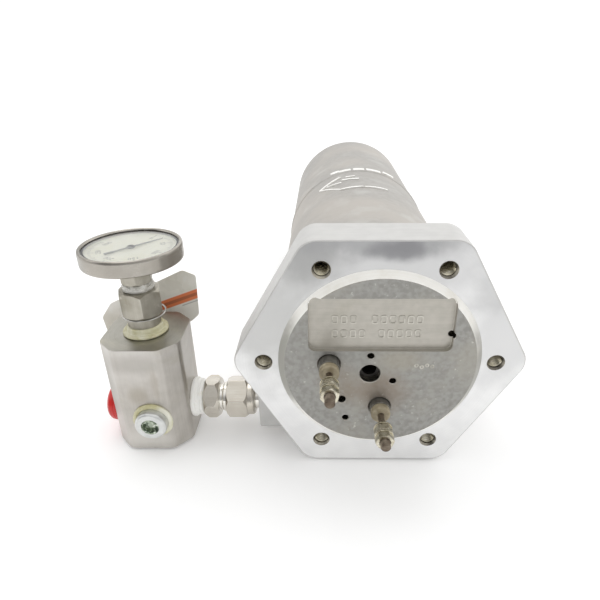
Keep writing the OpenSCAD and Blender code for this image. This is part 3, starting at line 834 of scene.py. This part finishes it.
def raised_bar(start, end, width, height):
    """A bar on the round body between two places, each (degrees, y in mm), bent to its curve."""
    ends = [Vector((math.radians(a) * BODY_R, y * MM, 0)) for a, y in (start, end)]
    run = ends[1] - ends[0]
    bm = bmesh.new()
    bmesh.ops.create_cube(bm, size=1)
    bmesh.ops.scale(bm, vec=(run.length + width * 0.4 * MM, width * MM, 2 * height * MM), verts=bm.verts)
    tops = [e for e in bm.edges if all(v.co.z > 0 for v in e.verts)]
    bevel(bm, tops, min(width, height) * 0.4, 2)
    cuts = 10
    for k in range(1, cuts):
        bmesh.ops.bisect_plane(bm, geom=bm.verts[:] + bm.edges[:] + bm.faces[:], dist=1e-7,
                               plane_co=((k / cuts - 0.5) * run.length, 0, 0), plane_no=X)
    turn = Matrix.Rotation(math.atan2(run.y, run.x), 4, "Z")
    bmesh.ops.transform(bm, matrix=Matrix.Translation((ends[0] + ends[1]) / 2) @ turn, verts=bm.verts)
    for vert in bm.verts:
        angle, radius = vert.co.x / BODY_R, BODY_R + vert.co.z
        vert.co = Vector((radius * math.cos(angle), vert.co.y, radius * math.sin(angle)))
    bmesh.ops.reverse_faces(bm, faces=bm.faces)
    return bm


def cast_marks():
    """Plain raised marks by the ring: a flow arrow and a broken band, with nothing to read."""
    bars = [
        ((123.7, 188), (106.5, 203), 2.6, 0.9), ((123.7, 188), (106.5, 161), 1.6, 0.7),
        ((117.4, 186), (106.0, 183), 2.2, 0.9), ((106.3, 160.5), (90.4, 159.8), 2.6, 1.0),
        ((88.7, 159.4), (72.3, 160.2), 2.6, 1.0), ((104.7, 191), (92.2, 188), 2.6, 0.9),
        ((101.6, 199), (94.7, 198.6), 2.2, 0.9)]
    bars += [((a, y), (b, y), 6.5, 1.3) for a, b, y in (
        (112.7, 107.4, 226), (105.4, 97.6, 223.5), (93.4, 86.4, 223.5), (82.4, 72.4, 224.5),
        (67.8, 59.8, 229))]
    marks = join(*[raised_bar(*bar) for bar in bars])
    piece("cast_marks", marks, worn_alloy, "heater", smooth=50)


def pocket_cells():
    """Two rows of plain blank cells where a rating would be stamped."""
    cells = []
    for row, starts in ((29.2, (0, 5.1, 10.2, 22.4, 27.4, 32.4, 37.4, 42.4, 47.4)),
                        (20.0, (0, 5.1, 10.2, 15.3, 26.5, 31.6, 36.7, 41.8, 46.9))):
        for start in starts:
            x = start - 28.2
            bm = prism(rectangle((x, row - 2.7), (x + 3.8, row + 2.7)), 0.5, 1.1, 0.14, 3)
            hollow = prism(rectangle((x + 0.75, row - 1.95), (x + 3.05, row + 1.95)), 0.7, 0.6, 0, 3)
            bmesh.ops.translate(hollow, vec=(0, -0.22 * MM, 0), verts=hollow.verts)
            bm = combine(bm, hollow, "DIFFERENCE")
            bmesh.ops.translate(bm, vec=(0, -1.12 * MM, 0), verts=bm.verts)
            cells.append(bm)
    piece("pocket_cells", join(*cells), worn_pocket, "heater")


def punch_marks():
    """Four small punched dots with raised burrs."""
    dots = []
    for x, z in ((21.0, 0.4), (24.2, -0.6), (27.2, 0.6), (30.2, -0.2)):
        rim = turned([
            (0, -0.25), (0.45, -0.1), (0.8, 0.22), (1.15, 0.12), (1.5, -0.15), (1.5, -0.4), (0, -0.4)], 20)
        aim(rim, -Y, (x * MM, -DISC_H - 0.05 * MM, z * MM))
        dots.append(rim)
    piece("punch_marks", join(*dots), worn_pocket, "heater", smooth=60)


# ---------------------------------------------------------------- the terminal posts

def terminals():
    """Pins, collars, washers and nuts on the two ends of the element."""
    studs, threads = [], []
    for low, high in solids("terminal_studs"):
        x, z = middle((low, high)).x, middle((low, high)).z
        length = (high.y - low.y) / MM
        collar = next(c for c in solids("terminal_collars") if abs(middle(c).x - x) < 4 * MM)
        shoulder = (collar[0].y - low.y) / MM
        shape = turned(rounded([(0, 0), (2.1, 0), (2.62, 0.5), (2.62, shoulder), (1.8, shoulder + 0.7),
                                (1.75, length), (0, length)], 0.15), 48)
        studs.append(along_y(shape, x, low.y, z))
        threads.append(along_y(thread(2.6, 2.88, 0.9, (shoulder - 1.2) / 0.9, 0.8), x, low.y, z))
    piece("terminal_pins", join(*studs, *threads), stud_steel, "heater", "terminal_studs")

    collars = []
    for low, high in solids("terminal_collars"):
        centre = middle((low, high))
        collars.append(along_y(nut(7.0, (high.y - low.y) / MM, 1.85, 0.35), centre.x, low.y, centre.z))
    piece("terminal_bases", join(*collars), old_nickel, "heater", "terminal_collars")

    washers = []
    for index, (low, high) in enumerate(solids("terminal_washers")):
        centre, thick = middle((low, high)), (high.y - low.y) / MM
        ring = turned(rounded([(3.0, 0), (5.35, 0), (5.35, thick), (3.0, thick)], 0.2), 56)
        if index % 3 == 1:
            slit = prism(rectangle((1.5, -0.25), (6, 0.25)), 3)
            upright = Matrix.Rotation(math.pi / 2, 3, "X")
            bmesh.ops.rotate(slit, verts=slit.verts, cent=(0, 0, 0), matrix=upright)
            bmesh.ops.translate(slit, vec=(0, 0, -0.001), verts=slit.verts)
            ring = combine(ring, slit, "DIFFERENCE")
        washers.append(along_y(ring, centre.x, low.y, centre.z))
    piece("terminal_rings", join(*washers), old_nickel, "heater", "terminal_washers")

    nuts = []
    for index, (low, high) in enumerate(solids("terminal_nuts")):
        centre = middle((low, high))
        hexed = nut(9.5, (high.y - low.y) / MM, 2.9, 0.2 + 0.1 * index)
        nuts.append(along_y(hexed, centre.x, low.y, centre.z))
    piece("terminal_hexes", join(*nuts), old_nickel, "heater", "terminal_nuts")

    sleeves, plugs = [], []
    for low, high in solids("terminal_insulators"):
        centre = middle((low, high))
        tip = low.y / MM
        sleeve = turned(rounded([(5.42, 4.6), (5.95, 4.5), (6.15, 5.1), (6.15, 17), (5.42, 17)], 0.15), 72)
        sleeves.append(along_y(sleeve, centre.x, (tip - 0.5) * MM, centre.z))
        stopper = turned(rounded([
            (1.84, -0.5), (3.4, -0.4), (5.2, -0.3), (5.75, 0.3), (5.75, 3.8), (5.4, 4.1), (5.4, 11.4),
            (1.84, 11.4)], 0.3), 64)
        plugs.append(along_y(stopper, centre.x, low.y, centre.z))
    piece("sheath_ends", join(*sleeves), sheath_steel, "heater", "heating_element")
    piece("insulator_plugs", join(*plugs), ceramic, "heater", "terminal_insulators")


# ---------------------------------------------------------------- the union

def union():
    """The compression union's nut, hexagon and neck."""
    y, z = middle(OUTLET).y, middle(OUTLET).z
    height = (NUT[1].x - NUT[0].x) / MM
    hexed = 14.2
    outer = nut(25.4, hexed, 0, math.radians(8 + 30), 0.1)
    skirt = turned(rounded([
        (0, 10), (12.3, 10), (12.3, height - 1.6), (11.4, height - 0.2), (9.2, height),
        (0, height)], 0.5), 96)
    shape = combine(outer, skirt, "UNION")
    hollow = turned([(0, -1), (11.1, -1), (10.3, 0.8), (10.3, 9.7), (8.0, 9.9), (8.0, height - 0.9),
                     (8.6, height + 0.2), (8.6, height + 2), (0, height + 2)], 72)
    shape = combine(shape, hollow, "DIFFERENCE")
    aim(shape, X, (NUT[0].x, y, z))
    piece("union_nut_turned", shape, union_steel, "nut", "union_nut", smooth=32)

    start = UNION[0].x
    flange = nut(25.4, 10.0, 0, math.radians(22 + 30), 0.13)
    aim(flange, X, (UNION_HEX * MM, y, z))
    inner = rounded([
        (6, 0), (10.1, 0), (10.1, 23), (10.1, 33.6), (9.2, 33.9), (9.2, 35.6), (10.18, 36.4), (10.18, 42.6),
        (9.0, 43.0), (8.0, 43.0), (8.0, 40.6), (6, 40.6)], 0.25)
    tube = turned(inner, 96)
    aim(tube, X, (start, y, z))
    flange = combine(flange, turned_bar(start, y, z), "DIFFERENCE")
    piece("union_hex", flange, union_steel, "heater", "union_body", smooth=32)
    piece("union_neck", tube, bright_steel, "heater", smooth=32)


def turned_bar(x, y, z):
    """A round bar that clears the hexagon's inside for the neck."""
    bar = turned([(0, -1), (10.05, -1), (10.05, 60), (0, 60)], 72)
    aim(bar, X, (x, y, z))
    return bar


def wrapped_tape(name, axis, place, outline, material, replaces, seed, wobble=0.25, body="heater"):
    """Thread tape wound on, as layers with an uneven edge. The outline is [radius, height] in mm."""
    bm = turned(rounded(outline, 0.35, 2), 150)
    for vert in bm.verts:
        away = Vector((vert.co.x, vert.co.y, 0))
        angle = math.atan2(vert.co.y, vert.co.x)
        level = vert.co.z / MM
        ridge = noise.noise(Vector((math.cos(angle) * 2.2, math.sin(angle) * 2.2, level * 0.9 + seed)))
        fray = noise.noise(Vector((math.cos(angle) * 7, math.sin(angle) * 7, level * 2.0 - seed)))
        bite = min(1.0, max(0.0, away.length / MM - outline[0][0]) / 0.8)
        vert.co += away.normalized() * (ridge * 0.9 + fray * 0.6) * wobble * bite * MM
        vert.co.z += (fray * 0.8 + ridge * 0.5) * wobble * bite * MM
    aim(bm, axis, place)
    return piece(name, bm, material, body, replaces, smooth=60, even=False)


def thread_tapes():
    """Tape on the union, the plug and the adapter, and sealant round the stem."""
    wrapped_tape("union_wraps", X, (BLOCK[1].x, middle(OUTLET).y, middle(OUTLET).z), [
        (10.2, -0.6), (12.8, -0.4), (13.5, 0.5), (13.4, 2.6), (12.5, 3.2), (12.2, 4.2), (12.4, 5.2),
        (11.4, 6.0), (11.6, 7.2), (10.9, 8.1), (10.2, 8.3)], white_tape, "union_tape", 3.0)
    wrapped_tape("plug_wraps", -Y, (middle(PLUG).x, BLOCK[0].y, middle(PLUG).z), [
        (10.3, -1.0), (12.4, -0.6), (13.0, 0.3), (12.7, 1.2), (11.4, 1.9), (10.3, 2.1)],
        aged_tape, "plug_tape", 7.0)
    wrapped_tape("adapter_wraps", Z, (GAUGE.x, GAUGE.y, BLOCK[1].z), [
        (10.2, 0), (13.4, 0.05), (14.2, 0.7), (14.1, 1.6), (13.3, 2.1), (11.9, 2.0), (11.4, 2.6),
        (11.5, 4.2), (11.1, 5.6), (10.2, 6.0)], aged_tape, "adapter_tape", 11.0)
    wrapped_tape("stem_paste", Z, (GAUGE.x, GAUGE.y, PASTE_FOOT * MM), [
        (6, 0), (9.0, 0.1), (9.5, 1.2), (9.2, 2.6), (9.5, 3.6), (8.6, 4.8), (6, 4.9)],
        paste, "stem_sealant", 5.0, 0.9)


# ---------------------------------------------------------------- the outlet block

def outlet_block():
    """Square bar with cut corners and a port in four of its faces."""
    low, high = BLOCK
    centre, half, cut = middle(BLOCK), (high.x - low.x) / 2 / MM, 11.0
    k = half - cut
    outline = [(half, -k), (half, k), (k, half), (-k, half), (-half, k), (-half, -k), (-k, -half), (k, -half)]
    shape = prism(outline, (high.z - low.z) / MM, 0, 0)
    long_edges = [e for e in shape.edges if abs(e.verts[0].co.y - e.verts[1].co.y) > 1e-6]
    bevel(shape, long_edges, 2.6, 4)
    shape.normal_update()
    rims = [e for e in shape.edges if e.calc_face_angle(0) > 1.2]
    bevel(shape, rims, 0.6, 2)
    stand = Matrix.Translation((centre.x, centre.y, low.z)) @ Matrix.Rotation(math.pi / 2, 4, "X")
    bmesh.ops.transform(shape, matrix=stand, verts=shape.verts)
    ports = ((-Y, (middle(PLUG).x, low.y, middle(PLUG).z)), (X, (high.x, middle(OUTLET).y, middle(OUTLET).z)),
             (-X, (low.x, middle(CAP).y, middle(CAP).z)), (Z, (centre.x, centre.y, high.z)))
    for axis, mouth in ports:
        tool = turned([
            (0, -20), (7, -19), (7, -15), (10.4, -14), (10.4, -1.2), (11.6, 0), (11.7, 1), (0, 1)], 64)
        aim(tool, axis, mouth)
        shape = combine(shape, tool, "DIFFERENCE")
    bmesh.ops.dissolve_limit(shape, angle_limit=math.radians(0.3), verts=shape.verts, edges=shape.edges)
    shape.normal_update()
    for face in shape.faces:
        on_top = face.normal.z > 0.9 and face.calc_center_median().z > high.z - 0.2 * MM
        face.material_index = 1 if on_top else 0
    finishes = [block_steel, block_top_steel]
    piece("outlet_block", shape, finishes, "heater", "manifold_block", smooth=32)


def plug():
    """A flush pipe plug with a hexagonal socket."""
    x, z = middle(PLUG).x, middle(PLUG).z
    front = PLUG[0].y
    body = turned(rounded([
        (0, 0), (9.0, 0), (10.1, 1.1), (10.2, 3.2), (10.3, 8), (10.2, 20), (0, 20)], 0.4), 96)
    socket = hexagon(9.6, 5, math.radians(10), 0.3)
    bmesh.ops.translate(socket, vec=(0, 0, -1.8 * MM), verts=socket.verts)
    body = combine(body, socket, "DIFFERENCE")
    body = combine(body, turned([(0, -1), (6.4, -1), (5.2, 0.9), (0, 0.9)], 64), "DIFFERENCE")
    body.normal_update()
    for face in body.faces:
        centre = face.calc_center_median()
        face.material_index = 1 if math.hypot(centre.x, centre.y) < 6.3 * MM else 0
    along_y(body, x, front, z)
    piece("plug", body, [zinc_plate, socket_metal], "heater", "port_plug", smooth=32)


def cap():
    """A soft cap with a rounded rim, pushed into the spare port."""
    centre = middle(CAP)
    out = (BLOCK[0].x - CAP[0].x) / MM
    outline = rounded([
        (0, out - 0.7), (6.8, out - 0.7), (8.2, out), (10.4, out - 0.2), (12.2, out - 2.0), (12.8, out - 4.6),
        (12.5, 2.0), (12.8, 1.4), (12.8, 0.1), (10.3, 0.1), (10.3, -12), (8.2, -12), (8.2, out - 2),
        (0, out - 2)], 0.6, 4)
    bm = turned(outline, 120)
    aim(bm, -X, (BLOCK[0].x, centre.y, centre.z))
    piece("pull_cap", bm, red_plastic, "cap", "port_cap", smooth=60)


# ---------------------------------------------------------------- the thermometer

def gauge_fittings():
    """The adapter in the block's top port, and the stem screwed into it."""
    x, y = GAUGE.x, GAUGE.y
    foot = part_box("gauge_adapter")[0].z / MM
    hexed = ADAPTER_TOP - ADAPTER_HEX
    body = nut(23.8, hexed, 0, math.radians(20), 0.1)
    body = combine(body, turned([(0, hexed - 3), (9.3, hexed - 3), (6.2, hexed + 1), (0, hexed + 1)],
                                64), "DIFFERENCE")
    aim(body, Z, (x, y, ADAPTER_HEX * MM))
    neck = turned(rounded([(6, foot), (10.2, foot), (10.2, 14.8), (9.6, 15.2), (9.6, 16.6), (6, 16.6)],
                          0.2), 80)
    aim(neck, Z, (x, y, 0))
    piece("adapter_hex", body, fitting_steel, "heater", "gauge_adapter", smooth=32)
    piece("adapter_neck", neck, fitting_steel, "heater", smooth=32)

    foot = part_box("gauge_stem")[0].z / MM
    top = nut(17.5, 9.0, 0, math.radians(14), 0.12)
    aim(top, Z, (x, y, STEM_HEX * MM))
    rod = turned(rounded([
        (0, foot), (2.8, foot), (3.2, foot + 0.6), (3.2, 19.6), (6, 20.4), (6, 37.8),
        (5.6, 38), (5.6, 46.4), (6.9, 46.6), (6.3, 48), (6.5, 50.5), (0, 50.5)], 0.3), 72)
    aim(rod, Z, (x, y, 0))
    piece("stem_hex", top, fitting_steel, "heater", "gauge_stem", smooth=32)
    piece("stem_rod", rod, gauge_steel, "heater", smooth=32)


def gauge_case():
    """The dish behind the dial, and the bezel rolled over it."""
    x, y = GAUGE.x, GAUGE.y
    shell = turned(rounded([
        (2, 50.2), (21.5, 50.2), (25.4, 50.7), (27.5, 51.9), (28.12, 53.8), (28.12, 59.8), (27.2, 59.8),
        (27.2, 53.6), (25.6, 51.8), (22, 51.1), (2, 51.1)], 0.6), 144)
    aim(shell, Z, (x, y, 0))
    piece("dial_case", shell, gauge_steel, "heater", "gauge_case", smooth=40)
    rim = turned(rounded([
        (28.2, 52.3), (29.2, 52.0), (29.9, 52.6), (30.1, 53.6), (30.1, 60.4), (29.8, 61.6), (29.2, 62.1),
        (28.7, 62.1), (28.1, 61.8), (27.7, 61.0), (27.9, 60.85), (28.2, 60.85)], 0.25), 168)
    aim(rim, Z, (x, y, 0))
    piece("dial_bezel", rim, bezel_steel, "heater", "gauge_bezel", smooth=40)


DIAL_START, DIAL_SWEEP, DIAL_STEPS = 68, -270, 60


def on_dial(step, radius):
    """A place on the dial, for a step of the scale and a radius in mm, and the scale's angle."""
    angle = math.radians(DIAL_START + DIAL_SWEEP * step / DIAL_STEPS)
    out = radius * MM
    return Vector((GAUGE.x + out * math.cos(angle), GAUGE.y + out * math.sin(angle), 0)), angle


def dial_print():
    """Printed scale: ticks and plain numbers."""
    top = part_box("gauge_dial")[1].z
    marks = []
    for step in range(DIAL_STEPS + 1):
        long = step % 10 == 0
        length, wide = (3.6, 0.42) if long else ((2.4, 0.3) if step % 5 == 0 else (1.6, 0.2))
        centre, angle = on_dial(step, 24.2 - length / 2)
        bm = bmesh.new()
        bmesh.ops.create_cube(bm, size=1)
        bmesh.ops.scale(bm, vec=(length * MM, wide * MM, 0.04 * MM), verts=bm.verts)
        turn = Matrix.Translation(centre + Z * (top + 0.02 * MM)) @ Matrix.Rotation(angle, 4, "Z")
        bmesh.ops.transform(bm, matrix=turn, verts=bm.verts)
        marks.append(bm)
    for step in range(0, DIAL_STEPS + 1, 10):
        centre, angle = on_dial(step, 18.2)
        curve = bpy.data.curves.new("number", "FONT")
        curve.body = str(step * 5)
        curve.size = 4.3 * MM
        curve.align_x, curve.align_y = "CENTER", "CENTER"
        curve.extrude = 0.02 * MM
        curve.resolution_u = 2
        text = bpy.data.objects.new("number", curve)
        scene.collection.objects.link(text)
        bm = bmesh.new()
        bm.from_mesh(final_mesh(text))
        bpy.data.objects.remove(text)
        upright = Matrix.Rotation(angle - math.pi / 2, 4, "Z")
        turn = Matrix.Translation(centre + Z * (top + 0.02 * MM)) @ upright
        bmesh.ops.transform(bm, matrix=turn, verts=bm.verts)
        marks.append(bm)
    piece("dial_print", join(*marks), ink, "heater", smooth=20, even=False)


def pointer():
    """A hub and a blade with a wide tail."""
    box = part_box("gauge_pointer")
    level = box[0].z
    hub = turned(rounded([(0, 0), (2.5, 0), (2.5, 0.5), (1.7, 1.0), (0, 1.1)], 0.15), 48)
    aim(hub, Z, (GAUGE.x, GAUGE.y, level))
    blade = prism([
        (-16.3, -0.95), (-11, -0.95), (-9.5, -0.55), (13, -0.5), (21, -0.12), (21, 0.12), (13, 0.5),
        (-9.5, 0.55), (-11, 0.95), (-16.3, 0.95)], 0.35, 0, 0)
    lift = Matrix.Translation((GAUGE.x, GAUGE.y, level + 0.05 * MM))
    lay = lift @ Matrix.Rotation(math.radians(46), 4, "Z") @ Matrix.Rotation(math.pi / 2, 4, "X")
    bmesh.ops.transform(blade, matrix=lay, verts=blade.verts)
    bmesh.ops.recalc_face_normals(blade, faces=blade.faces)
    piece("pointer_blade", join(hub, blade), pointer_paint, "pointer", "gauge_pointer")


# ---------------------------------------------------------------- the tag

def tag_mask(tree, centre, lean, half_width, reach):
    """A band across the tag: 1 within half_width of a leaning line, and only right of reach."""
    place = vector_maths(tree, "SUBTRACT", coordinates(tree), centre)
    across = vector_maths(tree, "MULTIPLY", place, (-math.sin(lean), 0, math.cos(lean)))
    parts = tree.nodes.new("ShaderNodeSeparateXYZ")
    wire(tree, across, parts.inputs["Vector"])
    offset = maths(tree, "ABSOLUTE", maths(tree, "ADD", parts.outputs["X"], parts.outputs["Z"]), 0)
    inside = maths(tree, "SUBTRACT", 1, smooth_step(tree, offset, half_width - 0.0003, half_width + 0.0003))
    side = tree.nodes.new("ShaderNodeSeparateXYZ")
    wire(tree, place, side.inputs["Vector"])
    return maths(tree, "MULTIPLY", inside, smooth_step(tree, side.outputs["X"], reach, reach + 0.0008))


def tag():
    """A laminated card with round corners, with a blank warning stripe."""
    low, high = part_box("warning_tag")
    outline = [(-190, -5), (-182, 6), (-128.4, 31.4), (-119.6, 27.4), (-120.6, -2.6), (-126.4, -8),
               (-181, -33.5), (-187.6, -24)]
    bm = prism(outline, 0.36, 1.6, 0, 3)
    for k in range(1, 14):
        bmesh.ops.bisect_plane(bm, geom=bm.verts[:] + bm.edges[:] + bm.faces[:], dist=1e-7,
                               plane_co=(low.x + (high.x - low.x) * k / 14, 0, 0), plane_no=X)
    hole = along_y(turned([(0, -3), (2.2, -3), (2.2, 3), (0, 3)], 32), HANG.x, 0, HANG.z)
    bm = combine(bm, hole, "DIFFERENCE")
    bmesh.ops.translate(bm, vec=(0, low.y + 0.05 * MM, 0), verts=bm.verts)
    stripe, lean = (-0.137, 0, 0.0075), math.radians(20.5)
    # the card's patch is painted shade on the left end of the tag
    card = surface(
        "tag_card", (0.84, 0.82, 0.76), (0.92, 0.91, 0.86), 0.3, grain=(300, 0.01), coat=0.35,
        blotches=((25, 0.4, 0.7, (0.72, 0.69, 0.60), 0.5), (120, 0.58, 0.72, (0.90, 0.90, 0.86), 0.5)),
        patches=(((-0.180, 0.064, -0.012), (1, 1, 1), 0.020, (0.60, 0.57, 0.48), 0.7),),
        marks=(
            (lambda tree: tag_mask(tree, stripe, lean, 0.0033, -0.014), (0.80, 0.20, 0.06), 0.95),
            (lambda tree: tag_mask(tree, stripe, lean, 0.0011, -0.010), (0.10, 0.05, 0.04), 0.45),
            (lambda tree: tag_mask(tree, (-0.132, 0, 0.0042), lean, 0.0004, 0.0), (0.3, 0.3, 0.29), 0.6)))
    piece("tag_card", bm, card, "tag", "warning_tag", smooth=30)
    ring = turned([
        (2.25, 0), (2.3, -0.1), (3.6, -0.1), (3.7, 0), (3.7, 0.5), (3.6, 0.6), (2.3, 0.6), (2.25, 0.5)], 40)
    along_y(ring, HANG.x, low.y - 0.02 * MM, HANG.z)
    piece("tag_eyelet", ring, tie_wire, "tag")


# ---------------------------------------------------------------- put together

camera()
studio()
floor()
casting()
hole_threads()
cast_marks()
pocket_cells()
punch_marks()
terminals()
union()
outlet_block()
plug()
cap()
gauge_fittings()
gauge_case()
dial_print()
pointer()
tag()
thread_tapes()

dressed = {
    "flow_tube": drawn_steel, "outlet_tube": bright_steel, "inlet_tube": drawn_steel,
    "sensor_well": well_steel, "union_ferrules": bright_steel, "gauge_gasket": gasket_rubber,
    "gauge_lens": glass, "gauge_dial": dial_paint, "gauge_spindle": old_nickel,
    "bimetal_coil": copper_strip, "tag_tie": tie_wire}
for node, finish in dressed.items():
    dress(node, finish)
